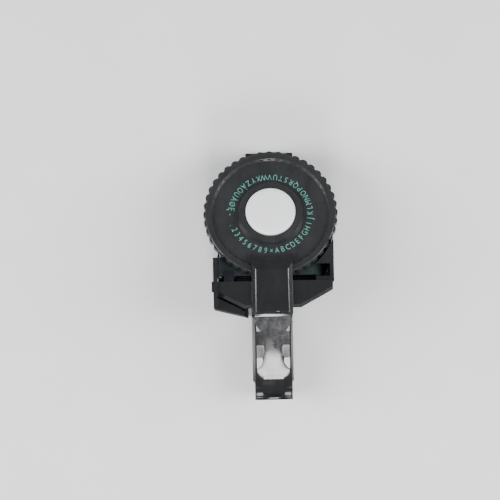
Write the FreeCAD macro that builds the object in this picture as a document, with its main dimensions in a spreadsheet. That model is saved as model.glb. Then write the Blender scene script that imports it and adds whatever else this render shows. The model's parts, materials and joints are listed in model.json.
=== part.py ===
import FreeCAD, Part
import math
import os
import re

import Sketcher

# A squeeze-type embossing label maker for 9 mm tape.
# Row frame: X to the right, Y toward the top of the dial, Z up, lying on its flat back.
# "World" pieces are laid out with Y counted from the dial's centre and Z from the floor.
# "Tilted" pieces are laid out in the dial's own frame: x, y in the dial's plane, z along its axis.

SIZES = {
    # whole object
    "tilt": 21.0,               # dial plane to floor, degrees
    "dial_height": 31.0,        # dial face centre above the floor
    "rim_r": 30.7,              # dial radius over the bumps
    "wall": 1.8,
    "gap": 0.3,                 # between bodies that pass each other
    "fit": 0.05,                # radial play of a running fit
    # drum and roll of tape
    "drum_r": 28.9,
    "split_height": 13.0,       # joint line of the two housings
    "floor_thick": 2.0,
    "roll_r": 25.6,
    "roll_core_r": 18.0,
    "core_wall": 0.8,
    "roll_low": 2.4,
    "tape_width": 9.0,
    "tape_thick": 0.25,
    # shoulders, wings and the block of the cut button
    "shoulder_half": 24.5,
    "wing_half": 27.5,
    "wing_top": 42.0,
    "wing_back": -30.5,
    "wing_side_end": -35.0,
    "wing_front": -42.8,
    "wing_front_half": 13.0,
    "shoulder_back": -8.0,
    "block_left": -26.5,
    "block_right": -11.0,
    "block_back": -36.0,
    "block_front": -47.6,       # at its right corner
    "block_front_left": -43.7,
    "block_top": 29.3,
    "chute_in": 20.0,
    "chute_x": 28.2,
    "chute_back": -4.0,
    "chute_top": 38.6,
    "skin_level": -8.0,         # top skin of the housing, below the dial face
    # dial
    "bumps": 44,
    "bump_r": 2.15,
    "valley_r": 29.75,
    "disc_thick": 2.4,
    "ridge_r": 27.0,
    "ridge_rise": 1.0,
    "boss_outer_r": 15.4,
    "boss_inner_r": 11.6,
    "boss_rise": 2.2,
    "cap_r": 11.3,
    "cap_rise": 3.9,
    "hub_r": 6.0,
    "axle_r": 2.5,
    "finger_r": 28.4,
    "finger_top": -3.6,
    "finger_thick": 1.2,
    "finger_root_r": 18.5,
    "station_r": 24.6,
    "detent_r": 12.0,
    "detent_post_x": 9.7,
    "detent_post_y": 14.6,
    # nose over the dial
    "nose_half": 9.35,
    "nose_top": 45.5,
    "nose_lip_r": 22.2,
    "nose_flare": 3.4,          # how far the back bevel runs out for each mm up
    "nose_bevel": 2.0,
    "nose_shoulder": -45.0,
    "nose_tip": -57.0,
    # trigger
    "pivot_y": -38.35,
    "pivot_height": 37.1,
    "pin_r": 1.5,
    "trigger_half": 8.7,
    "neck_half": 6.6,
    "trigger_end": -85.6,
    "trigger_low": 21.8,
    "trigger_thick": 2.4,
    "squeeze": 11.0,            # trigger travel, degrees
    "turn_x": 3.6,              # middle of the first turn of the trigger's spring
    "turn_coil_r": 2.9,
    "turn_wire_r": 0.28,
    "turn_pitch": 0.8,
    # rear handle
    "handle_half": 9.5,
    "handle_top": 7.0,
    "handle_end": -84.6,
    "cover_start": -47.3,
    # screws
    "screw_x": 18.0,
    "screw_y": -34.2,
    "grip_screw_y": -54.0,
    # tape feed, on the left of the dial
    "feed_x": -19.6,
    "feed_level": -6.0,
    "feed_r": 3.2,
    "feed_shaft_r": 1.0,
    "ratchet_r": 2.4,
    # cut button
    "blade_x": -24.1,
    "cut_travel": 3.5,
    "button_low": 33.0,
    "button_top": 38.5,
    "stem_x": -21.0,
    "stem_y": -41.7,
    "stem_r": 1.2,
    "spring_seat": 24.0,        # height of the cut spring's foot
    "cut_coil_r": 1.75,
    # door of the drum
    "door_thick": 2.0,
    "hinge_y": 27.2,
    "hinge_r": 1.6,
    "hinge_pin_r": 0.8,
}

doc = FreeCAD.newDocument("label_maker")
sheet = doc.addObject("Spreadsheet::Sheet", "Sizes")
for row, (word, value) in enumerate(SIZES.items(), start=1):
    sheet.set("A%d" % row, word)
    sheet.set("B%d" % row, str(value))
    sheet.setAlias("B%d" % row, word)
doc.recompute()
WORDS = re.compile(r"\b(" + "|".join(SIZES) + r")\b")
NODES = []

# The dial's far edge and the trigger's end set where the dial's centre lies: the origin is mid-length.
DIAL_Y = "((-trigger_end - rim_r * cos(tilt) - ridge_rise * sin(tilt)) / 2)"
# The room that the tape's two edges need at the station, in the dial's frame.
TAPE_OUT = "-station_r - tape_width / 2 - 0.5"
TAPE_IN = "-station_r + tape_width / 2 + 0.5"


def bound(text):
    """An expression in which each plain size name points at its cell."""
    return WORDS.sub(r"Sizes.\1", str(text))


def bind(item, prop, text):
    item.setExpression(prop, bound(text))


def place(item, x="0", y="0", z="0", tilted=False, extra="0"):
    """Put a piece at x, y, z of the world or of the dial's frame, turned with the dial."""
    if tilted:
        world_y = "(%s) * cos(tilt) + (%s) * sin(tilt)" % (y, z)
        world_z = "dial_height - (%s) * sin(tilt) + (%s) * cos(tilt)" % (y, z)
        item.Placement = FreeCAD.Placement(FreeCAD.Vector(),
                                           FreeCAD.Rotation(FreeCAD.Vector(-1, 0, 0), 5))
        bind(item, "Placement.Rotation.Angle", "tilt + (%s)" % extra)
    else:
        world_y = y
        world_z = z
    bind(item, "Placement.Base.x", x)
    bind(item, "Placement.Base.y", "%s + %s" % (DIAL_Y, world_y))
    bind(item, "Placement.Base.z", world_z)
    return item


def box(name, x, y, z, tilted=False):
    """A box between pairs of x, y and z limits."""
    item = doc.addObject("Part::Box", name)
    bind(item, "Length", "(%s) - (%s)" % (x[1], x[0]))
    bind(item, "Width", "(%s) - (%s)" % (y[1], y[0]))
    bind(item, "Height", "(%s) - (%s)" % (z[1], z[0]))
    return place(item, x[0], y[0], z[0], tilted)


def rod(name, radius, z, x="0", y="0", tilted=False):
    """A cylinder standing along Z, or along the dial's axis."""
    item = doc.addObject("Part::Cylinder", name)
    bind(item, "Radius", radius)
    bind(item, "Height", "(%s) - (%s)" % (z[1], z[0]))
    return place(item, x, y, z[0], tilted)


def cross_rod(name, radius, x, y, z):
    """A cylinder along X."""
    item = doc.addObject("Part::Cylinder", name)
    bind(item, "Radius", radius)
    bind(item, "Height", "(%s) - (%s)" % (x[1], x[0]))
    item.Placement = FreeCAD.Placement(FreeCAD.Vector(), FreeCAD.Rotation(FreeCAD.Vector(0, 1, 0), 90))
    return place(item, x[0], y, z)


def radial_rod(name, radius, y, x, z):
    """A cylinder along the Y of the dial's frame."""
    item = doc.addObject("Part::Cylinder", name)
    bind(item, "Radius", radius)
    bind(item, "Height", "(%s) - (%s)" % (y[1], y[0]))
    return place(item, x, y[0], z, True, "90")


def fuse(name, items):
    item = doc.addObject("Part::MultiFuse", name)
    item.Shapes = items
    item.Refine = True
    return item


def cut(name, base, tools):
    item = doc.addObject("Part::Cut", name)
    item.Base = base
    item.Tool = tools[0] if len(tools) == 1 else fuse(name + "_tools", tools)
    item.Refine = True
    return item


def chamfer_edges(body, name, choose, size):
    """Chamfer the edges of the body's tip that the test picks out, in the body's own frame."""
    base = body.Tip
    names = ["Edge%d" % k for k, edge in enumerate(base.Shape.Edges, start=1) if choose(edge)]
    chamfer = body.newObject("PartDesign::Chamfer", name)
    chamfer.Base = (base, names)
    bind(chamfer, "Size", size)
    doc.recompute()
    return body.Tip


def plane_of(body, role):
    return next(f for f in body.Origin.OriginFeatures if f.Role == role)


def new_body(name, x="0", y="0", z="0", tilted=False, extra="0"):
    body = doc.addObject("PartDesign::Body", name)
    return place(body, x, y, z, tilted, extra)


def outline(body, name, role, points, lift="0"):
    """A closed sketch of straight lines whose corners are bound to the sheet."""
    sketch = body.newObject("Sketcher::SketchObject", name)
    sketch.AttachmentSupport = [(plane_of(body, role), "")]
    sketch.MapMode = "FlatFace"
    bind(sketch, "AttachmentOffset.Base.z", lift)
    count = len(points)
    start = []
    for k in range(count):
        turn = 2 * math.pi * k / count
        start.append(FreeCAD.Vector(10 * math.cos(turn), 10 * math.sin(turn), 0))
    for k in range(count):
        sketch.addGeometry(Part.LineSegment(start[k], start[(k + 1) % count]), False)
    for k in range(count):
        sketch.addConstraint(Sketcher.Constraint("Coincident", k, 2, (k + 1) % count, 1))
    for k, (across, along) in enumerate(points):
        number = sketch.addConstraint(Sketcher.Constraint("DistanceX", -1, 1, k, 1, start[k].x))
        bind(sketch, "Constraints[%d]" % number, across)
        number = sketch.addConstraint(Sketcher.Constraint("DistanceY", -1, 1, k, 1, start[k].y))
        bind(sketch, "Constraints[%d]" % number, along)
    return sketch


def ring(body, name, radius, x="0", y="0", lift="0", role="XY_Plane"):
    """A sketch of one circle."""
    sketch = body.newObject("Sketcher::SketchObject", name)
    sketch.AttachmentSupport = [(plane_of(body, role), "")]
    sketch.MapMode = "FlatFace"
    bind(sketch, "AttachmentOffset.Base.z", lift)
    sketch.addGeometry(Part.Circle(FreeCAD.Vector(1, 1, 0), FreeCAD.Vector(0, 0, 1), 2), False)
    number = sketch.addConstraint(Sketcher.Constraint("Radius", 0, 2.0))
    bind(sketch, "Constraints[%d]" % number, radius)
    number = sketch.addConstraint(Sketcher.Constraint("DistanceX", -1, 1, 0, 3, 1.0))
    bind(sketch, "Constraints[%d]" % number, x)
    number = sketch.addConstraint(Sketcher.Constraint("DistanceY", -1, 1, 0, 3, 1.0))
    bind(sketch, "Constraints[%d]" % number, y)
    return sketch


def feature(body, kind, name, sketch, length, both=False, reverse=False):
    """A Pad or a Pocket of a sketch."""
    item = body.newObject("PartDesign::" + kind, name)
    item.Profile = sketch
    bind(item, "Length", length)
    item.SideType = "Symmetric" if both else "One side"
    item.Reversed = reverse
    doc.recompute()
    return item


def revolve(body, name, points):
    """A full turn of an outline of (radius, height) points about the body's Z axis."""
    sketch = outline(body, name + "_outline", "XZ_Plane", points)
    item = body.newObject("PartDesign::Revolution", name)
    item.Profile = sketch
    item.ReferenceAxis = (sketch, ["V_Axis"])
    item.Angle = 360
    doc.recompute()
    return item


def around(body, name, original, count):
    """Repeat a feature around the body's Z axis."""
    pattern = body.newObject("PartDesign::PolarPattern", name)
    pattern.Originals = [original]
    axis = next(f for f in body.Origin.OriginFeatures if f.Role == "Z_Axis")
    pattern.Axis = (axis, [""])
    pattern.Angle = 360
    bind(pattern, "Occurrences", count)
    body.Tip = pattern
    doc.recompute()
    return pattern


def round_edges(body, name, choose, radius):
    """Fillet the edges of the body's tip that the test picks out, in the body's own frame."""
    doc.recompute()
    base = body.Tip
    names = []
    for k, edge in enumerate(base.Shape.Edges, start=1):
        if choose(edge):
            names.append("Edge%d" % k)
    fillet = body.newObject("PartDesign::Fillet", name)
    fillet.Base = (base, names)
    bind(fillet, "Radius", radius)
    doc.recompute()
    if "Invalid" in fillet.State or fillet.Shape.isNull() or not fillet.Shape.isValid():
        body.removeObject(fillet)
        doc.removeObject(fillet.Name)
        body.Tip = base
        print("left sharp:", name)
    return body.Tip


def keep(item, name):
    """Name a finished sub-part; its label names its file."""
    item.Label = name
    NODES.append(item)


# ---------------------------------------------------------------- housings

def wing_plan(inset, left="-wing_half"):
    """The plan of the two wings, moved in by an inset."""
    slope = "(%s) * 1.5" % inset
    return [
        ("%s + %s" % (left, inset), "wing_back - (%s)" % inset),
        ("wing_half - (%s)" % inset, "wing_back - (%s)" % inset),
        ("wing_half - (%s)" % inset, "wing_side_end + (%s) * 0.6" % inset),
        ("wing_front_half - (%s) * 0.6" % inset, "wing_front + (%s)" % inset),
        ("-wing_front_half + (%s) * 0.6" % inset, "wing_front + (%s)" % inset),
        ("%s + %s" % (left, inset), "wing_side_end + (%s) * 0.6" % inset),
    ]


def prism(name, points, z):
    """A straight block with a drawn plan, between two heights."""
    body = new_body(name)
    feature(body, "Pad", name + "_pad", outline(body, name + "_plan", "XY_Plane", points, z[0]),
            "(%s) - (%s)" % (z[1], z[0]))
    return body


def block_plan(inset):
    """The plan of the cut button's block, whose front runs aslant, moved in by an inset."""
    front_grow = "(%s) * 1.03" % inset
    return [
        ("block_left + %s" % inset, "block_front_left + " + front_grow),
        ("block_right - (%s)" % inset, "block_front + " + front_grow),
        ("block_right - (%s)" % inset, "block_back"),
        ("block_left + %s" % inset, "block_back"),
    ]


def lower_plan(tag, inset, z):
    """Everything beside the drum in plan: shoulders, wings, cut-button block and tape chute."""
    grow = "(%s)" % inset
    return [
        box(tag + "_shoulder", ("-shoulder_half + " + grow, "shoulder_half - " + grow),
            ("wing_back - 1 + " + grow, "shoulder_back - " + grow), z),
        prism(tag + "_wings", wing_plan(inset), z),
        prism(tag + "_block", block_plan(inset), z),
        box(tag + "_chute", ("chute_in + " + grow, "chute_x - " + grow),
            ("wing_back - 1 + " + grow, "chute_back - " + grow), z),
    ]


def make_rear_housing():
    outer = [rod("rear_drum", "drum_r", ("door_thick + 0.2", "split_height"))]
    outer += lower_plan("rear", "0", ("0", "split_height"))
    outer.append(box("rear_grip", ("-handle_half", "handle_half"), ("-78", "-30"),
                     ("0", "handle_top - wall")))
    outer.append(rod("rear_grip_end", "handle_half", ("0", "handle_top - wall"), "0",
                     "handle_end + handle_half"))
    inner = [rod("rear_drum_room", "drum_r - wall", ("-1", "split_height + 1"))]
    inner.append(rod("rear_door_room", "drum_r + gap", ("-1", "door_thick + 0.2")))
    inner += lower_plan("rear_in", "wall", ("floor_thick", "split_height + 1"))
    inner.append(box("rear_grip_room", ("-handle_half + wall", "handle_half - wall"),
                     ("-74", "wing_front - 3"), ("wall", "handle_top")))
    inner.append(rod("rear_grip_end_room", "handle_half - wall", ("wall", "handle_top"),
                     "0", "handle_end + handle_half"))
    inner.append(box("rear_tape_gate", ("chute_in", "chute_x - wall"), ("-20", "-7"),
                     ("floor_thick", "split_height + 1")))
    inner.append(box("rear_hinge_notch", ("-8.3", "8.3"), ("drum_r - 5", "drum_r + 1"),
                     ("-1", "2 * hinge_r + 0.5")))
    body = cut("rear_shell", fuse("rear_outer", outer), inner)
    posts = []
    for side in ("-screw_x", "screw_x"):
        posts.append(rod("rear_post", "3", ("0", "split_height"), side, "screw_y"))
    posts.append(rod("rear_grip_post", "2.6", ("0", "handle_top - wall"), "0", "grip_screw_y"))
    posts.append(rod("rear_grip_post", "2.6", ("0", "handle_top - wall"), "0",
                     "handle_end + handle_half"))
    posts.append(box("rear_hinge_lug", ("-11", "-8.3"), ("drum_r - 5", "hinge_y + hinge_r"),
                     ("0", "2 * hinge_r")))
    posts.append(box("rear_hinge_lug", ("8.3", "11"), ("drum_r - 5", "hinge_y + hinge_r"),
                     ("0", "2 * hinge_r")))
    solid = fuse("rear_body", [body] + posts)
    holes = [cross_rod("rear_hinge_bore", "hinge_pin_r", ("-12", "12"), "hinge_y", "hinge_r")]
    holes.append(rod("rear_roll_room", "roll_r + 1", ("door_thick + 0.2", "split_height + 1")))
    for side in ("-screw_x", "screw_x"):
        holes.append(rod("rear_screw_bore", "1.3", ("-1", "split_height + 1"), side, "screw_y"))
        holes.append(rod("rear_screw_seat", "2.4", ("-1", "1.6"), side, "screw_y"))
    for spot in ("grip_screw_y", "handle_end + handle_half"):
        holes.append(rod("rear_grip_bore", "1.1", ("-1", "handle_top"), "0", spot))
        holes.append(rod("rear_grip_seat", "2.1", ("-1", "1.4"), "0", spot))
    keep(cut("rear_housing_cut", solid, holes), "rear_housing")


def upper_cutters(tag, level, radius):
    """All that lies above the top skin: everywhere, and only within the dial's own circle."""
    above = box(tag + "_above", ("-60", "60"), ("-60", "60"), (level, "80"), True)
    well = rod(tag + "_well", radius, (level, "80"), "0", "0", True)
    return above, well


def make_front_housing():
    low = "split_height"
    above, well = upper_cutters("front", "skin_level", "rim_r + 2 * gap")
    wedge = cut("front_wedge", fuse("front_wedge_all", [
        rod("front_drum", "drum_r", (low, "45")),
        box("front_shoulder", ("-shoulder_half", "shoulder_half"), ("wing_back - 1", "shoulder_back"),
            (low, "45")),
    ]), [above])
    upper_wings = prism("front_wings", wing_plan("0"), (low, "wing_top"))
    chamfer_edges(upper_wings, "front_wings_chamfer",
                  lambda e: e.BoundBox.ZMin > 41.9 and e.BoundBox.YMax < -34.9, "1.5")
    wings = cut("front_wings_cut", fuse("front_wings_all", [
        upper_wings,
        box("front_chute", ("chute_in", "chute_x"), ("wing_back - 1", "chute_back"),
            (low, "chute_top")),
    ]), [well])
    block = prism("front_block", block_plan("0"), (low, "block_top"))
    outer = fuse("front_outer", [wedge, wings, block])

    above_in, well_in = upper_cutters("front_in", "skin_level - wall", "rim_r + 2 * gap + wall")
    wedge_in = cut("front_wedge_in", fuse("front_wedge_in_all", [
        rod("front_drum_in", "drum_r - wall", (low + " - 1", "45")),
        box("front_shoulder_in", ("-shoulder_half + wall", "shoulder_half - wall"),
            ("wing_back - 1", "shoulder_back - wall"), (low + " - 1", "45")),
    ]), [above_in])
    wings_in = cut("front_wings_in_cut", fuse("front_wings_in_all", [
        prism("front_wings_in", wing_plan("wall"), (low + " - 1", "wing_top - wall")),
        box("front_chute_in", ("chute_in", "chute_x - wall"), ("wing_back - 1", "chute_back - wall"),
            (low + " - 1", "chute_top - wall")),
    ]), [well_in])
    block_in = prism("front_block_in", block_plan("wall"), (low + " - 1", "spring_seat - wall"))
    cheek = "neck_half + gap"
    tools = [
        wedge_in, wings_in, block_in,
        # the trigger's slot
        box("trigger_slot", ("-(%s)" % cheek, cheek), ("wing_front - 8", "wing_back - 2.4"),
            (low + " - 1", "60")),
        # hammer, pawl and feed roller reach up through the top skin
        box("hammer_window", ("-neck_half - gap", "neck_half + gap"), ("-32.5", "-21"),
            ("skin_level - 6", "skin_level + 3"), True),
        box("pawl_window", ("feed_x - feed_r - 0.5", "0"), ("-30", "-22.3"),
            ("skin_level - 4", "skin_level + 3"), True),
        # the cut arm's notch in the left wing
        box("arm_notch", ("-40", "blade_x - 0.4"), ("-60", "0"), ("36.2", "60")),
        # tape entry from the chute into the wheels
        box("tape_entry", ("18", "24.8"), (TAPE_OUT, TAPE_IN), ("-4.2", "-1.2"), True),
        box("tape_climb", ("19.5", "chute_x - wall"), (TAPE_OUT, "-11"), ("skin_level - 9", "-1.2"),
            True),
    ]
    shell = cut("front_shell", outer, tools)

    extra = []
    # cheeks beside the trigger carry its pin
    for side in (-1, 1):
        near, far = "neck_half + gap", "neck_half + gap + 2.2"
        limits = (near, far) if side > 0 else ("-(%s)" % far, "-(%s)" % near)
        extra.append(box("cheek", limits, ("wing_front + 0.2", "wing_back - 2.6"), (low, "wing_top")))
        extra.append(rod("front_post", "2.8", (low, "27"), "%d * screw_x" % side, "screw_y"))
    # axle boss under the top skin, bearing lug of the feed shaft, detent posts
    extra.append(rod("axle_boss", "5.5", ("-17", "skin_level"), "0", "0", True))
    extra.append(box("shaft_lug", ("feed_x - 2", "feed_x + 2"), ("-21.4", "-19.9"),
                     ("skin_level - 1", "-5.05"), True))
    for side in ("-detent_post_x", "detent_post_x"):
        extra.append(rod("detent_post", "1.2", ("skin_level - 1", "-5.0"), side, "detent_post_y", True))
    extra.append(box("anvil_seat", ("-24.0", "-22.9"), (TAPE_OUT, TAPE_IN), ("skin_level - 1", "-6.4"),
                     True))
    solid = fuse("front_body", [shell] + extra)

    holes = [
        cross_rod("pin_bore", "pin_r", ("-11", "11"), "pivot_y", "pivot_height"),
        rod("axle_bore", "axle_r", ("-15", "0"), "0", "0", True),
        rod("stem_bore", "stem_r + fit", ("10", "40"), "stem_x", "stem_y"),
        rod("spring_well", "cut_coil_r + 0.5", ("spring_seat", "60"), "stem_x", "stem_y"),
    ]
    holes.append(radial_rod("shaft_bore", "feed_shaft_r + fit", ("-34.5", "-19"), "feed_x",
                            "feed_level"))
    holes.append(box("leaf_slot", ("feed_x - 2.4", "feed_x + 2.4"), ("-34", "-28"), ("-2.5", "-2.0"),
                     True))
    for side in ("-screw_x", "screw_x"):
        holes.append(rod("front_screw_bore", "0.9", (low + " - 1", "25"), side, "screw_y"))
    keep(cut("front_housing_cut", solid, holes), "front_housing")


def make_roll_plate():
    low = "split_height - 1.2"
    disc = fuse("roll_plate_body", [
        rod("roll_plate_disc", "drum_r - wall - fit", (low, "split_height")),
        rod("roll_spindle", "roll_core_r - gap", ("3", low)),
    ])
    keep(cut("roll_plate_cut", disc, [
        rod("roll_spindle_room", "roll_core_r - gap - wall", ("2", low)),
        box("roll_plate_notch", ("24.4", "30"), ("-20", "1"), ("2", "split_height + 1")),
    ]), "roll_plate")


def make_handle_cover():
    low = "handle_top - wall"
    body = new_body("cover_body")
    end = "handle_end + handle_half"
    feature(body, "Pad", "cover_pad", outline(body, "cover_plan", "XY_Plane", [
        ("-handle_half", "cover_start"), ("-handle_half", end),
        ("-handle_half * 0.72", "handle_end + 2.7"),
        ("-handle_half * 0.38", "handle_end + 0.6"), ("handle_half * 0.38", "handle_end + 0.6"),
        ("handle_half * 0.72", "handle_end + 2.7"), ("handle_half", end),
        ("handle_half", "cover_start"),
    ], low), "wall")
    round_edges(body, "cover_round",
                lambda e: abs(e.BoundBox.ZMin - e.BoundBox.ZMax) < 0.01 and e.BoundBox.ZMin > 6.9, "0.9")
    holes = [rod("cover_bore", "1.05", (low + " - 1", "handle_top - 0.7"), "0", spot)
             for spot in ("grip_screw_y", end)]
    keep(cut("cover_cut", body, holes), "handle_cover")


# ---------------------------------------------------------------- dial

def make_character_wheel():
    body = new_body("character_wheel_body", tilted=True)
    revolve(body, "wheel_turned", [
        ("hub_r", "-disc_thick"), ("valley_r", "-disc_thick"), ("valley_r", "ridge_rise - 0.3"),
        ("valley_r - 0.3", "ridge_rise"), ("ridge_r", "ridge_rise"), ("ridge_r - 0.8", "0"),
        ("boss_outer_r", "0"), ("boss_outer_r - 0.9", "boss_rise"), ("boss_inner_r", "boss_rise"),
        ("boss_inner_r", "0"), ("hub_r", "0"),
    ])
    bump = feature(body, "Pad", "bump", ring(body, "bump_circle", "bump_r", "0", "rim_r - bump_r",
                                             "-disc_thick"),
                   "disc_thick + ridge_rise - 0.25")
    around(body, "bump_ring", bump, "bumps")
    die = feature(body, "Pocket", "die", outline(body, "die_outline", "XY_Plane", [
        ("-1.3", "-station_r - 1.9"), ("1.3", "-station_r - 1.9"),
        ("1.3", "-station_r + 1.9"), ("-1.3", "-station_r + 1.9"),
    ], "-disc_thick"), "0.5", reverse=True)
    around(body, "die_ring", die, "bumps")
    keep(body, "character_wheel")


def make_finger_wheel():
    low = "finger_top - finger_thick"
    body = new_body("finger_wheel_body", tilted=True)
    revolve(body, "finger_disc", [
        ("hub_r", low + " - 1.4"), ("detent_r", low + " - 1.4"), ("detent_r", low), ("finger_r", low),
        ("finger_r", "finger_top"), ("hub_r", "finger_top"),
    ])
    half = "(180 / bumps)"
    corners = [("-0.32", "finger_root_r"), ("0.32", "finger_root_r"), ("0.32", "finger_r + 1"),
               ("-0.32", "finger_r + 1")]
    turned = []
    for across, along in corners:
        turned.append(("%s * cos%s - (%s) * sin%s" % (across, half, along, half),
                       "%s * sin%s + (%s) * cos%s" % (across, half, along, half)))
    slot = feature(body, "Pocket", "slot", outline(body, "slot_outline", "XY_Plane", turned,
                                                   "finger_top"),
                   "finger_thick + 0.2")
    around(body, "slot_ring", slot, "bumps")
    boss = feature(body, "Pad", "boss", outline(body, "boss_outline", "XY_Plane", [
        ("-1.1", "-station_r - 1.7"), ("1.1", "-station_r - 1.7"),
        ("1.1", "-station_r + 1.7"), ("-1.1", "-station_r + 1.7"),
    ], "finger_top"), "0.45")
    around(body, "boss_ring", boss, "bumps")
    notch = feature(body, "Pocket", "notch", ring(body, "notch_circle", "0.5", "0", "detent_r",
                                                  low + " - 0.01"),
                    "2")
    around(body, "notch_ring", notch, "bumps")
    keep(body, "finger_wheel")


def make_dial_centre():
    hub = new_body("dial_hub_body", tilted=True)
    revolve(hub, "hub_turned", [
        ("axle_r + fit", "-7.0"), ("hub_r", "-7.0"), ("hub_r", "finger_top"), ("9.5", "finger_top"),
        ("9.5", "-disc_thick"), ("hub_r", "-disc_thick"), ("hub_r", "1.0"), ("axle_r + fit", "1.0"),
    ])
    keep(hub, "dial_hub")

    axle = cut("dial_axle_cut", rod("axle_rod", "axle_r", ("-15", "1.45"), "0", "0", True),
               [rod("axle_thread", "1.0", ("-6", "3"), "0", "0", True)])
    keep(axle, "dial_axle")

    washers = fuse("washers", [
        rod("washer_low", "5", ("-7.95", "-7.08"), "0", "0", True),
        rod("washer_high", "4.6", ("1.06", "1.44"), "0", "0", True),
    ])
    keep(cut("washers_cut", washers, [rod("washer_bore", "axle_r + fit", ("-9", "3"), "0", "0", True)]),
         "thrust_washers")

    screw = new_body("axle_screw_body", tilted=True)
    revolve(screw, "screw_turned", [
        ("0", "-5.5"), ("1.0", "-5.5"), ("1.0", "1.45"), ("3.6", "1.45"), ("3.6", "2.2"),
        ("3.0", "2.6"), ("0", "2.6"),
    ])
    keep(cut("axle_screw_cut", screw, [
        box("screw_slot", ("-4", "4"), ("-0.4", "0.4"), ("2.0", "4"), True)]), "axle_screw")

    cap = new_body("dial_cap_body", tilted=True)
    revolve(cap, "cap_turned", [
        ("0", "3.0"), ("cap_r - 1.6", "3.0"), ("cap_r - 1.6", "0"), ("cap_r", "0"),
        ("cap_r", "cap_rise - 0.9"), ("cap_r - 0.3", "cap_rise - 0.4"),
        ("cap_r - 1.0", "cap_rise - 0.1"),
        ("0", "cap_rise + 0.25"),
    ])
    keep(cap, "dial_cap")

    leaf = new_body("detent_spring_body", tilted=True)
    tip = "detent_r + 0.08"
    feature(leaf, "Pad", "detent_pad", outline(leaf, "detent_outline", "XY_Plane", [
        ("-11", "detent_post_y - 1.2"), ("-11", "detent_post_y - 1.5"), ("-1.3", "detent_post_y - 1.5"),
        ("0", tip), ("1.3", "detent_post_y - 1.5"), ("11", "detent_post_y - 1.5"),
        ("11", "detent_post_y - 1.2"), ("1.15", "detent_post_y - 1.2"), ("0", tip + " + 0.42"),
        ("-1.15", "detent_post_y - 1.2"),
    ], "-6.15"), "1.2")
    keep(leaf, "detent_spring")


# ---------------------------------------------------------------- nose

def make_nose():
    plan = new_body("nose_plan_body")
    feature(plan, "Pad", "nose_plan_pad", outline(plan, "nose_plan", "XY_Plane", [
        ("-nose_half", "-12"), ("-nose_half", "nose_shoulder"),
        ("-nose_half * 0.84", "nose_shoulder - 5.4"),
        ("-nose_half * 0.5", "nose_tip + 2.4"), ("-nose_half * 0.14", "nose_tip"),
        ("nose_half * 0.14", "nose_tip"), ("nose_half * 0.5", "nose_tip + 2.4"),
        ("nose_half * 0.84", "nose_shoulder - 5.4"), ("nose_half", "nose_shoulder"),
        ("nose_half", "-12"),
    ], "30"), "30")
    round_edges(plan, "nose_plan_round",
                lambda e: e.BoundBox.ZLength > 20 and e.BoundBox.YMax < -44, "2.5")
    side = new_body("nose_side_body")
    feature(side, "Pad", "nose_side_pad", outline(side, "nose_side", "YZ_Plane", [
        ("-12", "30"), ("-12", "nose_top"), ("nose_shoulder", "nose_top"), ("nose_tip - 1", "37.0"),
        ("nose_tip - 1", "34.2"), ("wing_front", "wing_top"), ("-24", "wing_top"), ("-24", "30"),
    ]), "60", both=True)
    round_edges(side, "nose_side_round",
                lambda e: e.BoundBox.XLength > 20 and e.BoundBox.ZMin > 45 and e.BoundBox.YMax < -40, "6")
    front = new_body("nose_front_body", "0", "-12")
    feature(front, "Pad", "nose_front_pad", outline(front, "nose_front", "XZ_Plane", [
        ("-nose_half", "30"), ("-nose_half", "nose_top - nose_bevel"),
        ("-nose_half + nose_bevel", "nose_top"),
        ("nose_half - nose_bevel", "nose_top"), ("nose_half", "nose_top - nose_bevel"),
        ("nose_half", "30"),
    ]), "60")
    round_edges(front, "nose_front_round",
                lambda e: e.BoundBox.YLength > 20 and e.BoundBox.ZMin > 43, "0.9")
    block = doc.addObject("Part::MultiCommon", "nose_block")
    block.Shapes = [plan, side, front]
    bevel = doc.addObject("Part::Cone", "nose_bevel")
    bind(bevel, "Radius1", "nose_lip_r")
    bind(bevel, "Radius2", "nose_lip_r + nose_flare * 9.3")
    bind(bevel, "Height", "9.3")
    place(bevel, "0", "0", "2.4", True)
    tools = [
        bevel,
        rod("nose_lip", "nose_lip_r", ("-5", "2.41"), "0", "0", True),
        rod("nose_rim_room", "rim_r + 2 * gap", ("-20", "ridge_rise + gap"), "0", "0", True),
        box("nose_room", ("-neck_half - 0.6", "neck_half + 0.6"), ("-46", "-34"),
            ("35", "nose_top - wall")),
    ]
    keep(cut("nose_cut", block, tools), "nose_cover")
    keep(box("anvil_box", ("-4.2", "4.2"), ("-25.9", "-22.6"), ("0.2", "ridge_rise + gap"), True),
         "anvil_plate")


# ---------------------------------------------------------------- trigger

def from_pivot(points):
    """World (y, z) points, counted from the trigger's pivot."""
    return [("(%s) - pivot_y" % y, "(%s) - pivot_height" % z) for y, z in points]


def pressed_box(name, x, y, z):
    """A box that is square to the dial when the trigger is fully squeezed; y and z from the pivot."""
    item = doc.addObject("Part::Box", name)
    bind(item, "Length", "(%s) - (%s)" % (x[1], x[0]))
    bind(item, "Width", "(%s) - (%s)" % (y[1], y[0]))
    bind(item, "Height", "(%s) - (%s)" % (z[1], z[0]))
    item.Placement = FreeCAD.Placement(FreeCAD.Vector(), FreeCAD.Rotation(FreeCAD.Vector(-1, 0, 0), 5))
    bind(item, "Placement.Rotation.Angle", "tilt + squeeze")
    lean = "(tilt + squeeze)"
    place_y = "pivot_y + (%s) * cos%s + (%s) * sin%s" % (y[0], lean, z[0], lean)
    place_z = "pivot_height - (%s) * sin%s + (%s) * cos%s" % (y[0], lean, z[0], lean)
    bind(item, "Placement.Base.x", x[0])
    bind(item, "Placement.Base.y", "%s + %s" % (DIAL_Y, place_y))
    bind(item, "Placement.Base.z", place_z)
    return item


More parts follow.
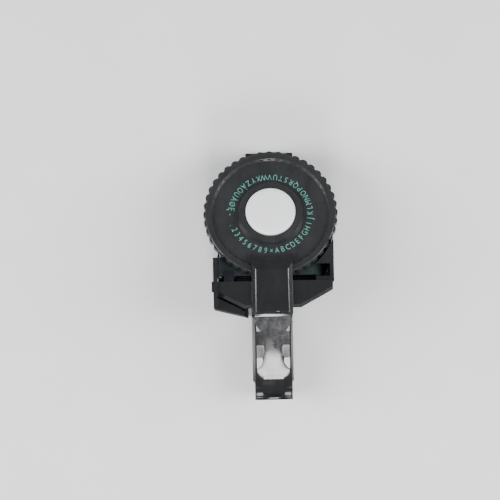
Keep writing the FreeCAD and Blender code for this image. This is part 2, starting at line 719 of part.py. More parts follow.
def make_trigger():
    low, thick, end = "trigger_low", "trigger_thick", "trigger_end"
    body = new_body("trigger_body", "0", "pivot_y", "pivot_height")
    skin = outline(body, "skin_side", "YZ_Plane", from_pivot([
        ("-43.6", "41.0"), ("-47.5", "39.2"), ("-53.5", "35.6"), ("-60", "31.4"), ("-66", "27.8"),
        ("-71.5", low + " + 3.1"), ("-76", low + " + 1.4"), ("-80", low + " + 0.3"),
        (end + " + 2.6", low),
        (end, low + " + 1.5"), (end, low + " - 1.0"), (end + " + 2.2", low + " - " + thick),
        ("-79.6", low + " - " + thick), ("-75", low + " - 0.8"), ("-70.4", low + " + 0.9"),
        ("-65", "25.2"),
        ("-59", "28.8"), ("-52.4", "33.0"), ("-46.6", "36.4"), ("-43.6", "37.8"),
    ]))
    feature(body, "Pad", "skin", skin, "2 * trigger_half", both=True)
    round_edges(body, "skin_flow", is_skin_bend, "18")
    round_edges(body, "skin_lip", is_skin_lip, "0.8")
    round_edges(body, "skin_rim", is_trigger_rim, "1.0")
    flange = outline(body, "flange_side", "YZ_Plane", from_pivot([
        ("-43.6", "37.9"), ("-46.6", "36.5"), ("-52.4", "33.1"), ("-59", "28.9"), ("-65", "25.3"),
        ("-70.4", low + " + 1.0"), ("-75", low + " - 0.7"), ("-79.6", low + " - 2.3"),
        ("-78", low + " - 4.0"), ("-72", low + " - 3.2"), ("-64", "20.6"), ("-54", "26.6"),
        ("-46", "32.4"), ("-43.6", "33.4"),
    ]))
    feature(body, "Pad", "flanges", flange, "2 * trigger_half", both=True)
    room = outline(body, "flange_room", "YZ_Plane", from_pivot([
        ("-47.4", "35.9"), ("-52.4", "33.0"), ("-59", "28.8"), ("-65", "25.2"),
        ("-70.4", low + " + 0.9"),
        ("-75", low + " - 0.8"), ("-79.6", low + " - " + thick), ("-79.6", "10"), ("-47.4", "20"),
    ]))
    feature(body, "Pocket", "between_flanges", room, "2 * trigger_half - 2 * wall", both=True)
    neck = outline(body, "neck_side", "YZ_Plane", from_pivot([
        ("-46.5", "39.6"), ("-41", "41.3"), ("-37", "41.0"), ("-34.6", "38.8"), ("-34.4", "35.6"),
        ("-36.4", "33.4"), ("-41", "33.0"), ("-46.5", "33.0"),
    ]))
    feature(body, "Pad", "neck", neck, "2 * neck_half", both=True)
    arm = pressed_box("trigger_arm", ("-3.2", "3.2"), ("-1", "16"), ("-3.6", "-0.3"))
    solid = fuse("trigger_all", [body, arm])
    keep(cut("trigger_cut", solid, [
        cross_rod("trigger_bore", "pin_r + fit", ("-12", "12"), "pivot_y", "pivot_height"),
        cross_rod("spring_room", "4.1", ("3.2", "neck_half - 0.9"), "pivot_y", "pivot_height"),
        box("spring_way", ("3.2", "neck_half - 0.9"), ("pivot_y", "-30"),
            ("pivot_height - 4.1", "pivot_height")),
        pressed_box("hammer_seat", ("-1.9", "1.9"), ("11.4", "15.4"), ("-2.6", "4")),
    ]), "trigger")
    keep(pressed_box("hammer_block", ("-1.9", "1.9"), ("11.4", "15.4"), ("-2.6", "3.0")), "hammer")
    keep(cross_rod("trigger_pin_rod", "pin_r", ("-9.1", "9.1"), "pivot_y", "pivot_height"),
         "trigger_pin")
    keep(fuse("feed_pawl_body", [
        box("pawl_leaf", ("feed_x + ratchet_r + 0.15", "-3.2"), ("-25.8", "-24.2"), ("-12.2", "-11.8"),
            True),
        box("pawl_tip", ("feed_x + ratchet_r + 0.15", "feed_x + ratchet_r + 0.7"), ("-25.8", "-24.2"),
            ("-12.2", "-6.8"), True),
    ]), "feed_pawl")


def is_skin_bend(edge):
    """The shallow bends across the trigger's skin, away from its two ends."""
    spread = edge.BoundBox
    return spread.XLength > 10 and -44.0 < spread.YMin < -6.5


def is_skin_lip(edge):
    """The corners across the lip at the trigger's end."""
    spread = edge.BoundBox
    return spread.XLength > 10 and spread.YMin < -44.0


def is_trigger_rim(edge):
    """The long edges at the two sides of the skin's upper face."""
    spread = edge.BoundBox
    at_side = spread.XLength < 0.01 and abs(spread.XMin) > 8 and spread.YLength > 1
    middle = edge.valueAt((edge.FirstParameter + edge.LastParameter) / 2)
    return at_side and middle.z > skin_top(middle.y) - 0.8


def skin_top(y):
    """Roughly the height of the skin's upper face, both counted from the pivot."""
    if y > -32:
        return 3.0 + 0.575 * (y + 6)
    return -15.2


# ---------------------------------------------------------------- feed and cutter

def make_feed():
    shaft = radial_rod("feed_shaft_rod", "feed_shaft_r", ("-33.4", "-20"), "feed_x", "feed_level")
    keep(shaft, "feed_shaft")
    keep(cut("feed_roller_cut", radial_rod("roller_rod", "feed_r", ("-29.1", "-26.3"), "feed_x",
                                           "feed_level"),
             [radial_rod("roller_bore", "feed_shaft_r", ("-30", "-25"), "feed_x", "feed_level")]),
             "feed_roller")
    teeth = []
    for k in range(6):
        turn = 60 * k + 180
        teeth.append(("ratchet_r * cos(%d)" % turn, "ratchet_r * sin(%d)" % turn))
        teeth.append(("ratchet_r * 0.7 * cos(%d)" % (turn + 6),
                      "ratchet_r * 0.7 * sin(%d)" % (turn + 6)))
    wheel = new_body("ratchet_body", "feed_x", "-25.8", "feed_level", True, "90")
    feature(wheel, "Pad", "ratchet_pad", outline(wheel, "ratchet_outline", "XY_Plane", teeth), "1.6")
    feature(wheel, "Pocket", "ratchet_bore", ring(wheel, "ratchet_bore_circle", "feed_shaft_r",
                                                  lift="1.7"), "3")
    keep(wheel, "ratchet_wheel")
    keep(box("leaf", ("feed_x - 2.2", "feed_x + 2.2"), ("-33.8", "-26.3"), ("-2.42", "-2.14"), True),
         "pressure_leaf")


def make_cutter():
    keep(box("cutter_anvil_box", ("blade_x + 0.1", "blade_x + 1.2"), (TAPE_OUT, TAPE_IN),
             ("-6.4", "-2.85"), True),
         "cutter_anvil")
    blade = new_body("cutter_blade_body", "0", "-25.7", "0", True)
    feature(blade, "Pad", "blade_pad", outline(blade, "blade_section", "XZ_Plane", [
        ("blade_x - 0.5", "3.0"), ("blade_x", "3.0"), ("blade_x", "-1.9"), ("blade_x - 0.5", "-1.0"),
    ]), "9.7", both=True)
    keep(blade, "cutter_blade")
    pad = new_body("cut_pad_body")
    feature(pad, "Pad", "cut_pad", outline(pad, "cut_pad_plan", "XY_Plane", [
        ("-26.6", "block_front_left + 0.6"), ("-12.2", "block_front + 0.9"), ("-12.2", "-43.9"),
        ("-24.6", "-37.3"),
        ("-26.6", "-37.3"),
    ], "button_low"), "button_top - button_low")
    round_edges(pad, "cut_pad_round", lambda e: e.BoundBox.ZMin > 38.4, "1.0")
    arm_x = ("blade_x - 2.5", "blade_x - 0.5")
    keep(fuse("cut_button_body", [
        pad,
        box("cut_riser", arm_x, ("-42.4", "-37.4"), ("button_low + 1", "43.6")),
        box("cut_arm", arm_x, ("-42.4", "-19.5"), ("40.2", "43.6")),
        rod("cut_stem", "stem_r", ("18", "button_low + 1"), "stem_x", "stem_y"),
    ]), "cut_button")


def make_springs():
    """Wound springs. The cut spring is a helix swept by a round wire, which no primitive makes."""
    dial_y = dial_centre_y()
    cut_coil = doc.addObject("Part::Feature", "cut_coil")
    spring_seat = sheet_value("spring_seat")
    cut_coil.Shape = coil(sheet_value("cut_coil_r"), 0.25, sheet_value("button_low") - spring_seat, 6)
    cut_coil.Placement = FreeCAD.Placement(
        FreeCAD.Vector(sheet_value("stem_x"), dial_y + sheet_value("stem_y"), spring_seat),
        FreeCAD.Rotation())
    keep(cut_coil, "cut_spring")
    # the trigger's spring is close wound, so its turns are rings joined by short slanting stubs
    turns = []
    for k in range(3):
        turn = doc.addObject("Part::Torus", "turn")
        bind(turn, "Radius1", "turn_coil_r")
        bind(turn, "Radius2", "turn_wire_r")
        place(turn, "turn_x + %d * turn_pitch" % k, "pivot_y", "pivot_height")
        turn.Placement.Rotation = FreeCAD.Rotation(FreeCAD.Vector(0, 1, 0), 90)
        turns.append(turn)
    for k, side in ((0, 1), (1, -1)):
        start = "turn_x + %d * turn_pitch" % k
        turns.append(cross_rod("turn_stub", "turn_wire_r * 0.8", (start, start + " + turn_pitch"),
                               "pivot_y", "pivot_height + %d * turn_coil_r" % side))
    keep(fuse("trigger_spring_body", turns), "trigger_spring")


def sheet_value(word):
    return float(sheet.get(sheet.getCellFromAlias(word)))


def dial_centre_y():
    """DIAL_Y as a number, for the pieces whose shape is set in code."""
    tilt = math.radians(sheet_value("tilt"))
    reach = sheet_value("rim_r") * math.cos(tilt) + sheet_value("ridge_rise") * math.sin(tilt)
    return (-sheet_value("trigger_end") - reach) / 2


def coil(radius, wire_r, height, turns):
    """A spring of round wire standing on Z = 0, as high as asked over the wire."""
    rise = height - 2 * wire_r
    helix = Part.makeHelix(rise / turns, rise, radius)
    helix.translate(FreeCAD.Vector(0, 0, wire_r))
    section = Part.Wire(Part.makeCircle(wire_r, FreeCAD.Vector(radius, 0, wire_r),
                                        FreeCAD.Vector(0, 1, 0)))
    return Part.Wire(helix).makePipeShell([section], True, True)


# ---------------------------------------------------------------- tape

def make_tape():
    keep(cut("tape_roll_cut", rod("tape_roll_all", "roll_r", ("roll_low", "roll_low + tape_width")),
             [rod("tape_roll_bore", "roll_core_r + core_wall", ("1", "13"))]), "tape_roll")
    keep(cut("roll_core_cut", rod("roll_core_all", "roll_core_r + core_wall",
                                  ("roll_low", "roll_low + tape_width")),
             [rod("roll_core_bore", "roll_core_r", ("1", "13"))]), "roll_core")

    tilt = math.radians(sheet_value("tilt"))
    dial_y = dial_centre_y()
    middle = sheet_value("station_r")
    height = sheet_value("dial_height")
    thick = sheet_value("tape_thick")
    width = sheet_value("tape_width")
    level = -2.5 - thick / 2
    flat_y = -middle * math.cos(tilt) + level * math.sin(tilt)
    flat_z = height + middle * math.sin(tilt) + level * math.cos(tilt)
    radial = FreeCAD.Vector(0, math.cos(tilt), -math.sin(tilt))
    upright = FreeCAD.Vector(0, 0, 1)
    # the tape leaves the roll standing on edge and climbs the chute, lying over as it goes
    side = sheet_value("roll_r") + sheet_value("gap")
    poles = [
        FreeCAD.Vector(side, 1.5, sheet_value("roll_low") + width / 2),
        FreeCAD.Vector(side, -21.0, sheet_value("roll_low") + width / 2),
        FreeCAD.Vector(side - 0.1, flat_y - 2.0, flat_z - 4.0),
        FreeCAD.Vector(19.5, flat_y, flat_z),
    ]
    curve = Part.BezierCurve()
    curve.setPoles(poles)
    steps = 12
    wires = []
    for k in range(steps + 1):
        share = k / steps
        lying = min(1.0, 2 * share)
        across = upright * (1 - lying) + radial * lying
        wires.append(tape_section(curve.value(share), curve.tangent(share)[0], across, width, thick))
    climb = Part.makeLoft(wires, True, True)
    edge = sheet_value("blade_x") + 0.1
    to_left = FreeCAD.Vector(-1, 0, 0)
    flat_wires = [tape_section(FreeCAD.Vector(place_x, flat_y, flat_z), to_left, radial, width, thick)
                  for place_x in (19.5, edge)]
    flat = Part.makeLoft(flat_wires, True, True)
    leader = doc.addObject("Part::Feature", "leader")
    leader.Shape = climb.fuse(flat)
    leader.Placement = FreeCAD.Placement(FreeCAD.Vector(0, dial_y, 0), FreeCAD.Rotation())
    keep(leader, "tape_leader")


def tape_section(centre, heading, across, width, thick):
    """The tape's cross-section as a closed wire."""
    heading = FreeCAD.Vector(heading).normalize()
    across = (across - heading * across.dot(heading)).normalize()
    through = heading.cross(across) * (thick / 2)
    across = across * (width / 2)
    corners = [centre + across + through, centre - across + through,
               centre - across - through, centre + across - through]
    return Part.makePolygon(corners + [corners[0]])


# ---------------------------------------------------------------- door and screws

def make_door():
    plate = cut("door_plate", rod("door_disc", "drum_r", ("0", "door_thick")), [
        box("door_hinge_side", ("-8.1", "8.1"), ("hinge_y", "40"), ("-1", "5")),
        box("door_lug_room", ("-11.3", "-8.1"), ("drum_r - 5.3", "40"), ("-1", "5")),
        box("door_lug_room", ("8.1", "11.3"), ("drum_r - 5.3", "40"), ("-1", "5")),
    ])
    door = fuse("door_all", [plate, cross_rod("door_knuckle", "hinge_r", ("-8.1", "8.1"), "hinge_y",
                                              "hinge_r")])
    keep(cut("door_cut", door, [
        cross_rod("door_bore", "hinge_pin_r + fit", ("-9", "9"), "hinge_y", "hinge_r"),
        box("door_finger_notch", ("-6", "6"), ("-drum_r - 1", "-drum_r + 1.4"), ("-1", "5")),
    ]), "magazine_door")
    keep(cross_rod("hinge_pin_rod", "hinge_pin_r", ("-11", "11"), "hinge_y", "hinge_r"),
         "door_hinge_pin")


def make_screws():
    housing = []
    for side in ("-screw_x", "screw_x"):
        housing.append(fuse("housing_screw", [
            rod("screw_head", "2.3", ("0.3", "1.55"), side, "screw_y"),
            rod("screw_shank", "0.88", ("1.5", "24"), side, "screw_y"),
        ]))
    keep(compound("housing_screws_all", housing), "housing_screws")
    handle = []
    for spot in ("grip_screw_y", "handle_end + handle_half"):
        handle.append(fuse("handle_screw", [
            rod("screw_head", "2.0", ("0.3", "1.35"), "0", spot),
            rod("screw_shank", "1.0", ("1.3", "handle_top - 0.8"), "0", spot),
        ]))
    keep(compound("handle_screws_all", handle), "handle_screws")


def compound(name, items):
    item = doc.addObject("Part::Compound", name)
    item.Links = items
    return item


make_rear_housing()
make_front_housing()
make_roll_plate()
make_handle_cover()
make_character_wheel()
make_finger_wheel()
make_dial_centre()
make_nose()
make_trigger()
make_feed()
make_cutter()
make_springs()
make_tape()
make_door()
make_screws()
doc.recompute()

os.makedirs("parts", exist_ok=True)
for item in doc.Objects:
    if "Invalid" in item.State or "Error" in item.State:
        raise RuntimeError("%s failed" % item.Name)
for item in NODES:
    shape = item.Shape
    if shape.isNull() or not shape.isValid():
        raise RuntimeError("%s has no valid shape" % item.Label)
    print(item.Label, len(shape.Solids), round(shape.Volume), shape.BoundBox)
    shape.exportStep("parts/%s.step" % item.Label)
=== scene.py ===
import json
import math

import bpy
import bmesh
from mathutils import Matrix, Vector


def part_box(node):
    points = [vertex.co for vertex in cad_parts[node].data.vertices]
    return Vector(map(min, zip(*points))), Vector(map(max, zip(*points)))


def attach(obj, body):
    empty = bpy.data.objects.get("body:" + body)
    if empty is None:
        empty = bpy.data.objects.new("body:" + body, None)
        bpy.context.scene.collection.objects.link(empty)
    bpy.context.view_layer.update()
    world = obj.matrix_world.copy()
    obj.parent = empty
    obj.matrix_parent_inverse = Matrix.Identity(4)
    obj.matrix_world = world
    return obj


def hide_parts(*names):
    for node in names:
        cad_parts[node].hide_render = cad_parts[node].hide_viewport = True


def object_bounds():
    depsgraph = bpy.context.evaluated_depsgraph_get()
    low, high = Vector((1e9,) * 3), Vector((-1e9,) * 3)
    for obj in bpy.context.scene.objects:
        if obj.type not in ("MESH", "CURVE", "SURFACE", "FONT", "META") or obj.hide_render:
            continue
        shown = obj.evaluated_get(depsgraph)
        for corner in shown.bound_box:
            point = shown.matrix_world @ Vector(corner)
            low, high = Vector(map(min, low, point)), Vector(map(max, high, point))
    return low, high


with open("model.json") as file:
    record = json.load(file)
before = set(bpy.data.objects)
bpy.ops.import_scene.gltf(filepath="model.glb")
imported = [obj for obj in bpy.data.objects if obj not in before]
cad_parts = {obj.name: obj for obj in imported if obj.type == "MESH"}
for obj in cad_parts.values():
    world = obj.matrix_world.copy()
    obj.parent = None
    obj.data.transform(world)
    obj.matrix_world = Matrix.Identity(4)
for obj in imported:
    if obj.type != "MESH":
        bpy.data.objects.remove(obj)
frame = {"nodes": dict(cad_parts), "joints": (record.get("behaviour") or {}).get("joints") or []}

cad_low, cad_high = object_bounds()

# ---------------------------------------------------------------- places, all from the frame

MM = 0.001
TRIGGER_LOW, TRIGGER_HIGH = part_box("trigger")
dial_joint = next(joint for joint in frame["joints"] if joint["name"] == "dial_turn")
DIAL = Vector(dial_joint["pos_m"])
DIAL_AXIS = Vector(dial_joint["axis"]).normalized()
DIAL_UP = DIAL_AXIS.cross(Vector((1, 0, 0)))


def on_dial(across, up, lift):
    """A world point from the dial's own frame, in metres."""
    return DIAL + Vector((across, 0, 0)) + DIAL_UP * up + DIAL_AXIS * lift


def finish_mesh(name, shape, material, body):
    """Turn a bmesh into a piece that rides on a body."""
    mesh = bpy.data.meshes.new(name)
    shape.to_mesh(mesh)
    shape.free()
    piece = bpy.data.objects.new(name, mesh)
    bpy.context.scene.collection.objects.link(piece)
    mesh.materials.append(material)
    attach(piece, body)
    return piece


# ---------------------------------------------------------------- materials

def new_material(name):
    material = bpy.data.materials.new(name)
    material.use_nodes = True
    nodes = material.node_tree.nodes
    shader = next(node for node in nodes if node.type == "BSDF_PRINCIPLED")
    return material, nodes, material.node_tree.links, shader


def noise(nodes, links, scale, detail=3.0, stretch=(1, 1, 1), rough=0.55):
    """Noise in the object's own space, which is metres in the CAD's frame."""
    space = nodes.new("ShaderNodeTexCoord")
    mapping = nodes.new("ShaderNodeMapping")
    mapping.inputs["Scale"].default_value = stretch
    texture = nodes.new("ShaderNodeTexNoise")
    texture.inputs["Scale"].default_value = scale
    texture.inputs["Detail"].default_value = detail
    texture.inputs["Roughness"].default_value = rough
    links.new(space.outputs["Object"], mapping.inputs["Vector"])
    links.new(mapping.outputs["Vector"], texture.inputs["Vector"])
    return texture.outputs["Fac"]


def spread(nodes, links, source, low, high, start=0.3, end=0.7):
    """Stretch a noise between two numbers."""
    span = nodes.new("ShaderNodeMapRange")
    span.inputs["From Min"].default_value = start
    span.inputs["From Max"].default_value = end
    span.inputs["To Min"].default_value = low
    span.inputs["To Max"].default_value = high
    links.new(source, span.inputs["Value"])
    return span.outputs["Result"]


def tint(nodes, links, source, dark, light, shader):
    """Blend two colours by a noise into the shader's base colour."""
    ramp = nodes.new("ShaderNodeValToRGB")
    ramp.color_ramp.elements[0].position = 0.3
    ramp.color_ramp.elements[0].color = (*dark, 1)
    ramp.color_ramp.elements[1].position = 0.7
    ramp.color_ramp.elements[1].color = (*light, 1)
    links.new(source, ramp.inputs["Fac"])
    links.new(ramp.outputs["Color"], shader.inputs["Base Color"])


def bump(nodes, links, sources, shader):
    """Chain bumps given as (height, strength, distance in metres)."""
    normal = None
    for height, strength, distance in sources:
        node = nodes.new("ShaderNodeBump")
        node.inputs["Strength"].default_value = strength
        node.inputs["Distance"].default_value = distance
        links.new(height, node.inputs["Height"])
        if normal is not None:
            links.new(normal, node.inputs["Normal"])
        normal = node.outputs["Normal"]
    links.new(normal, shader.inputs["Normal"])


def moulded(name, dark, light, rough_low, rough_high, grain, ripple=0.12):
    """Injection-moulded plastic: faint sink ripples, fine grain and handling marks."""
    material, nodes, links, shader = new_material(name)
    sink = noise(nodes, links, 55, 1.5)
    fine = noise(nodes, links, 2600, 2.0)
    smears = noise(nodes, links, 190, 5.0, (1, 0.35, 1), 0.62)
    tint(nodes, links, smears, dark, light, shader)
    links.new(spread(nodes, links, smears, rough_low, rough_high), shader.inputs["Roughness"])
    bump(nodes, links, [(sink, ripple, 0.0006), (fine, grain, 0.00004)], shader)
    shader.inputs["IOR"].default_value = 1.53
    shader.inputs["Specular IOR Level"].default_value = 0.5
    return material


def metal(name, dark, light, rough_low, rough_high, stretch):
    """Drawn or ground steel with fine lines along one way."""
    material, nodes, links, shader = new_material(name)
    lines = noise(nodes, links, 1500, 3.0, stretch)
    clouds = noise(nodes, links, 260, 4.0)
    tint(nodes, links, clouds, dark, light, shader)
    links.new(spread(nodes, links, lines, rough_low, rough_high), shader.inputs["Roughness"])
    bump(nodes, links, [(lines, 0.25, 0.00003)], shader)
    shader.inputs["Metallic"].default_value = 1.0
    return material


def rubber_material():
    """Matt rubber with a little dust."""
    material, nodes, links, shader = new_material("rubber_roller")
    grain = noise(nodes, links, 3200, 3.0)
    dust = noise(nodes, links, 420, 5.0)
    tint(nodes, links, dust, (0.016, 0.016, 0.017), (0.045, 0.044, 0.042), shader)
    links.new(spread(nodes, links, dust, 0.62, 0.85), shader.inputs["Roughness"])
    bump(nodes, links, [(grain, 0.6, 0.00006)], shader)
    return material


def tape_material():
    """Glossy vinyl, with the edges of its layers as fine lines."""
    material, nodes, links, shader = new_material("vinyl_tape")
    layers = noise(nodes, links, 900, 2.0, (1, 1, 0.08))
    haze = noise(nodes, links, 160, 4.0)
    tint(nodes, links, haze, (0.010, 0.017, 0.017), (0.020, 0.030, 0.029), shader)
    links.new(spread(nodes, links, haze, 0.24, 0.4), shader.inputs["Roughness"])
    bump(nodes, links, [(layers, 0.3, 0.00005)], shader)
    return material


def cap_material():
    """Satin white cap: a trace of mottling and very fine texture."""
    material, nodes, links, shader = new_material("cap_satin")
    cloud = noise(nodes, links, 240, 4.0)
    fine = noise(nodes, links, 3800, 2.0)
    tint(nodes, links, cloud, (0.88, 0.885, 0.90), (0.93, 0.935, 0.95), shader)
    links.new(spread(nodes, links, cloud, 0.42, 0.55), shader.inputs["Roughness"])
    bump(nodes, links, [(fine, 0.18, 0.00003)], shader)
    return material


def print_material():
    """The dial's printed characters: thin teal ink, a little uneven."""
    material, nodes, links, shader = new_material("teal_print")
    wear = noise(nodes, links, 900, 5.0)
    tint(nodes, links, wear, (0.075, 0.30, 0.25), (0.16, 0.46, 0.39), shader)
    links.new(spread(nodes, links, wear, 0.4, 0.62), shader.inputs["Roughness"])
    return material


# Noise stretches that draw a metal's lines out along one way.
ALONG_X = (0.1, 1, 1)
ALONG_Y = (1, 0.1, 1)

HOUSING = moulded(
    "housing_gloss", (0.0075, 0.0078, 0.0085), (0.0115, 0.0118, 0.0125), 0.09, 0.2, 0.05)
DIAL_PLASTIC = moulded(
    "dial_semi_gloss", (0.013, 0.0135, 0.014), (0.020, 0.0205, 0.021), 0.3, 0.42, 0.22, 0.05)
INNER = moulded(
    "inner_plastic", (0.05, 0.05, 0.053), (0.075, 0.075, 0.078), 0.42, 0.58, 0.3)
CORE = moulded(
    "core_plastic", (0.62, 0.60, 0.53), (0.70, 0.68, 0.61), 0.45, 0.6, 0.3)
STEEL = metal(
    "zinc_steel", (0.50, 0.51, 0.53), (0.66, 0.67, 0.68), 0.22, 0.42, ALONG_Y)
SPRING = metal(
    "spring_steel", (0.30, 0.31, 0.34), (0.46, 0.47, 0.50), 0.2, 0.38, ALONG_X)
BLUED = metal(
    "blued_leaf", (0.035, 0.037, 0.045), (0.06, 0.063, 0.075), 0.3, 0.46, ALONG_X)
RUBBER = rubber_material()
TAPE = tape_material()
CAP = cap_material()
PRINT = print_material()

# The material of each node. A node not named here has the housing's.
FINISH = {
    "character_wheel": DIAL_PLASTIC,
    "finger_wheel": INNER, "dial_hub": INNER, "roll_plate": INNER,
    "roll_core": CORE, "dial_cap": CAP, "feed_roller": RUBBER,
    "tape_roll": TAPE, "tape_leader": TAPE,
    "dial_axle": STEEL, "thrust_washers": STEEL, "axle_screw": STEEL, "anvil_plate": STEEL,
    "hammer": STEEL, "trigger_pin": STEEL, "feed_shaft": STEEL, "ratchet_wheel": STEEL,
    "cutter_anvil": STEEL, "cutter_blade": BLUED, "door_hinge_pin": STEEL,
    "housing_screws": STEEL, "handle_screws": STEEL,
    "detent_spring": SPRING, "trigger_spring": SPRING, "cut_spring": SPRING,
    "pressure_leaf": BLUED, "feed_pawl": SPRING,
}

# Nodes whose moulded edges are softened, and by how much, in metres.
SOFT_EDGE = {
    "rear_housing": 0.45 * MM, "front_housing": 0.2 * MM, "nose_cover": 0.3 * MM,
    "handle_cover": 0.3 * MM, "cut_button": 0.3 * MM, "magazine_door": 0.35 * MM,
    "character_wheel": 0.15 * MM, "finger_wheel": 0.1 * MM, "roll_plate": 0.3 * MM,
    "dial_hub": 0.2 * MM, "dial_cap": 0.25 * MM, "roll_core": 0.2 * MM, "tape_roll": 0.15 * MM,
    "anvil_plate": 0.1 * MM, "hammer": 0.15 * MM, "trigger_pin": 0.2 * MM,
}


WELD_GAP = 0.002 * MM           # vertices nearer than this are one
SHARP = math.radians(35)        # edges that turn more than this are rounded


def soften(node, width):
    """Round a node's sharp edges with modifiers, which leave its mesh data unchanged."""
    weld = node.modifiers.new("weld", "WELD")
    weld.merge_threshold = WELD_GAP
    edge = node.modifiers.new("soft_edge", "BEVEL")
    edge.width = width
    edge.segments = 3
    edge.limit_method = "ANGLE"
    edge.angle_limit = SHARP
    edge.use_clamp_overlap = True
    edge.harden_normals = True


def dress_cad():
    """Give each carried-over CAD node its material, and those listed in SOFT_EDGE a softened edge.
    """
    for name, node in frame["nodes"].items():
        node.data.materials.clear()
        node.data.materials.append(FINISH.get(name, HOUSING))
        if name in SOFT_EDGE:
            soften(node, SOFT_EDGE[name])


# ---------------------------------------------------------------- dial characters

CHARACTERS = ".23456789×ABCDEFGHIJKLMNOPQRSTUVWXYZÅÖÜÄØĘ-"
SLOTS = 44
LETTER_R = 18.0 * MM            # from the dial's centre to the middle of the characters
LETTER_HEIGHT = 2.85 * MM
LETTER_WIDTH = 0.78             # of the font's own width
LETTER_LIFT = 0.03 * MM         # above the dial's face
LETTER_THIN = -0.008            # of the font's size, taken off each stroke's outline
FONT_CAP = 0.729                # height of the font's capitals at size 1


def letter_mesh(symbol):
    """One character as a flat mesh, centred across, in the font's own size."""
    curve = bpy.data.curves.new("symbol", "FONT")
    curve.body = symbol
    curve.align_x = "CENTER"
    curve.offset = LETTER_THIN
    curve.resolution_u = 3
    holder = bpy.data.objects.new("symbol", curve)
    bpy.context.scene.collection.objects.link(holder)
    bpy.context.view_layer.update()
    mesh = bpy.data.meshes.new_from_object(holder)
    bpy.data.objects.remove(holder)
    bpy.data.curves.remove(curve)
    return mesh


def make_characters():
    """The ring of characters, each with its top to the dial's centre."""
    shape = bmesh.new()
    for k, symbol in enumerate(CHARACTERS):
        # the sign between the digits and the letters sits at the bottom of the dial
        turn = (k - CHARACTERS.index("×")) * 2 * math.pi / SLOTS
        mesh = letter_mesh(symbol)
        for vertex in mesh.vertices:
            across = vertex.co.x / FONT_CAP * LETTER_HEIGHT * LETTER_WIDTH
            up = (vertex.co.y / FONT_CAP - 0.5) * LETTER_HEIGHT
            radius = LETTER_R - up
            x = radius * math.sin(turn) + across * math.cos(turn)
            y = -radius * math.cos(turn) + across * math.sin(turn)
            vertex.co = on_dial(x, y, LETTER_LIFT)
        shape.from_mesh(mesh)
        bpy.data.meshes.remove(mesh)
    return finish_mesh("dial_characters", shape, PRINT, "dial")


# ---------------------------------------------------------------- trigger

SKIN_START = DIAL.y - 44.8 * MM  # where the new skin begins, under the nose
TRIGGER_END = TRIGGER_LOW[1]
HALF_WIDTH = TRIGGER_HIGH[0]
SKIN_BACK = 0.18 * MM           # how far the lever's own mesh is drawn in under the new skin
SKIN_NEAR = 0.2 * MM            # vertices this near the skin are drawn in
FRAME_SHORT = 2.4 * MM          # how far that mesh stops short of the trigger's end
EVEN_ROWS = 26                  # rows on each side that the skin's heights are averaged over
RIM_RISE = 1.9 * MM             # from the middle of the finger rest to its edges
CROWN = 0.9 * MM                # from the edges to the middle, next to the nose
LIP = 2.6 * MM                  # length of the rounded lip
LIP_DROP = 1.7 * MM             # how far its top comes down
LIP_LIFT = 0.45 * MM            # how far its underside comes up
TOP_ROUND, LOW_ROUND = 1.1 * MM, 0.5 * MM   # radii along the skin's long edges


def skin_heights(node):
    """A function that gives the skin's top in the middle and its underside near an edge, at a y."""
    rows = 240
    reach = 0.2
    end_y = TRIGGER_END + 1.0 * MM
    side = HALF_WIDTH - 1.6 * MM
    found = []
    for k in range(rows + 1):
        y = SKIN_START + (end_y - SKIN_START) * k / rows
        top = node.ray_cast(Vector((0, y, reach)), Vector((0, 0, -1)))[1].z
        low = node.ray_cast(Vector((side, y, -reach)), Vector((0, 0, 1)))[1].z
        found.append((top, low))
    # the flow of the skin is evened out, so that light runs along it without a break
    even = []
    for k in range(rows + 1):
        span = min(EVEN_ROWS, k, rows - k)
        near = found[k - span:k + span + 1]
        even.append(tuple(sum(pair[i] for pair in near) / len(near) for i in (0, 1)))

    def at(y):
        place = min(max((SKIN_START - y) / (SKIN_START - end_y), 0), 1) * rows
        k = min(int(place), rows - 1)
        part = place - k
        (top_a, low_a), (top_b, low_b) = even[k], even[k + 1]
        return top_a + (top_b - top_a) * part, low_a + (low_b - low_a) * part

    return at


def ramp(value, low, high):
    """0 to 1 between two numbers, with soft ends."""
    t = min(max((value - low) / (high - low), 0), 1)
    return t * t * (3 - 2 * t)


def arc(share):
    """0 to 1 as a quarter circle falls away."""
    return 1 - math.sqrt(max(0, 1 - share * share))


def skin_ring(shape, y, heights, columns):
    """One closed row of the skin's vertices: across its top, then back along its underside."""
    run = SKIN_START - y
    top, low = heights(y)
    bend = arc(max(0, 1 - (y - TRIGGER_END) / LIP))
    crown = CROWN * ramp(run, 2 * MM, 12 * MM) * (1 - ramp(run, 16 * MM, 36 * MM))
    rim = RIM_RISE * ramp(run, 25 * MM, 37 * MM) * (1 - 0.5 * ramp(run, 39 * MM, 42 * MM))
    ring = []
    for is_top in (True, False):
        edge = TOP_ROUND if is_top else LOW_ROUND
        for i in range(columns + 1):
            t = 1 - 2 * i / columns if is_top else -1 + 2 * i / columns
            x = HALF_WIDTH * math.sin(t * math.pi / 2)
            across = abs(x) / HALF_WIDTH
            rounding = edge * arc(max(0, abs(x) - (HALF_WIDTH - edge)) / edge)
            sway = rim * (across ** 2.2 - 0.5) - crown * across ** 2
            if is_top:
                z = top + sway - rounding - LIP_DROP * bend
            else:
                z = low + sway * 0.9 + rounding + LIP_LIFT * bend
            ring.append(shape.verts.new((x, y, z)))
    return ring


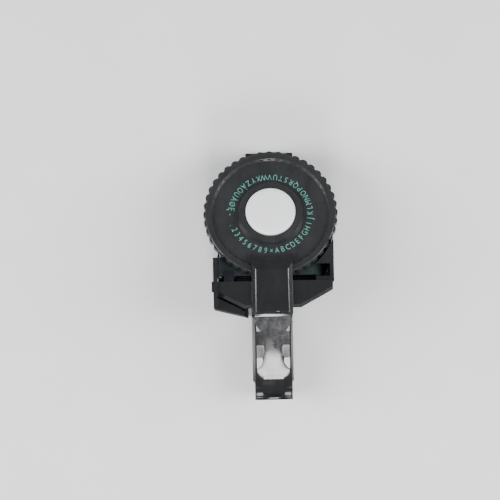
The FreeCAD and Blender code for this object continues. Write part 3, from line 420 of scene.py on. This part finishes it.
def make_trigger_skin(heights):
    """The finger plate: crowned where it leaves the nose, dished where the finger rests."""
    rows, columns = 150, 48
    crowding = 1.5              # over 1, so that rows crowd toward the rounded lip
    shape = bmesh.new()
    rings = []
    for k in range(rows + 1):
        share = 1 - (1 - k / rows) ** crowding
        y = SKIN_START - (SKIN_START - TRIGGER_END) * share
        rings.append(skin_ring(shape, y, heights, columns))
    for ring_a, ring_b in zip(rings, rings[1:]):
        for i in range(len(ring_a)):
            j = (i + 1) % len(ring_a)
            shape.faces.new((ring_a[i], ring_a[j], ring_b[j], ring_b[i]))
    shape.faces.new(rings[0])
    shape.faces.new(list(reversed(rings[-1])))
    bmesh.ops.recalc_face_normals(shape, faces=shape.faces)
    for face in shape.faces:
        face.smooth = True
    return finish_mesh("trigger_skin", shape, HOUSING, "trigger_lever")


def make_trigger_frame(node, heights):
    """The lever under the skin, from the node's own mesh, drawn in where the new skin covers it."""
    shape = bmesh.new()
    shape.from_mesh(node.data)
    for vertex in shape.verts:
        if vertex.co.y > SKIN_START + 0.1 * MM:
            continue
        top, low = heights(vertex.co.y)
        if low - SKIN_NEAR <= vertex.co.z <= top + SKIN_NEAR:
            share = (vertex.co.z - low) / (top - low)
            vertex.co.z += SKIN_BACK * (1 - 2 * share)
            vertex.co.x *= 1 - SKIN_BACK / HALF_WIDTH
            vertex.co.y = max(vertex.co.y, TRIGGER_END + FRAME_SHORT)
    return finish_mesh("trigger_frame", shape, HOUSING, "trigger_lever")


def make_trigger():
    """The skin and the frame under it, in place of the CAD trigger."""
    node = frame["nodes"]["trigger"]
    heights = skin_heights(node)
    skin = make_trigger_skin(heights)
    inner = make_trigger_frame(node, heights)
    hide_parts("trigger")
    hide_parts("trigger")


# ---------------------------------------------------------------- stage

def make_floor():
    """A pale sheet just under the object."""
    material, nodes, links, shader = new_material("floor_paper")
    cloud = noise(nodes, links, 30, 3.0)
    tint(nodes, links, cloud, (0.80, 0.80, 0.80), (0.83, 0.83, 0.83), shader)
    shader.inputs["Roughness"].default_value = 0.75
    bpy.ops.mesh.primitive_plane_add(size=3.0, location=(0, 0, cad_low[2] - 0.3 * MM))
    floor = bpy.context.object
    floor.name = "floor"
    floor.data.materials.append(material)


def area_light(name, place, aim, size, power):
    """A rectangular white light that faces a point."""
    data = bpy.data.lights.new(name, "AREA")
    data.shape = "RECTANGLE"
    data.size, data.size_y = size
    data.energy = power
    light = bpy.data.objects.new(name, data)
    light.location = place
    light.rotation_mode = "QUATERNION"
    light.rotation_quaternion = (Vector(aim) - Vector(place)).to_track_quat("-Z", "Y")
    bpy.context.scene.collection.objects.link(light)


def make_lights():
    """A pale sky, two large boxes at the sides and a small one in front."""
    world = bpy.data.worlds.new("studio")
    world.use_nodes = True
    sky = world.node_tree.nodes["Background"]
    sky.inputs["Color"].default_value = (0.9, 0.93, 1.0, 1)
    sky.inputs["Strength"].default_value = 0.42
    bpy.context.scene.world = world
    area_light("left_box", (-0.76, 0.0, 0.6), (0, 0, 0), (0.4, 0.9), 12)
    area_light("right_box", (0.76, 0.0, 0.6), (0, 0, 0), (0.4, 0.9), 12)
    area_light("front_box", (0.0, -0.75, 0.57), (0, -0.035, 0.03), (0.2, 0.33), 6)


def make_camera():
    """Straight above, aimed a little left of and below the dial's centre, rolled by a degree."""
    distance = 1.1
    view_width = 0.235
    sensor = 36                 # millimetres, as the lens
    data = bpy.data.cameras.new("camera")
    data.sensor_width = sensor
    data.lens = sensor * distance / view_width
    data.clip_start = 0.01
    camera = bpy.data.objects.new("camera", data)
    camera.location = (DIAL.x - 9.7 * MM, DIAL.y - 16.4 * MM, distance)
    camera.rotation_euler = (0, 0, math.radians(-1.2))
    bpy.context.scene.collection.objects.link(camera)
    bpy.context.scene.camera = camera


dress_cad()
make_characters()
make_trigger()
make_floor()
make_lights()
make_camera()
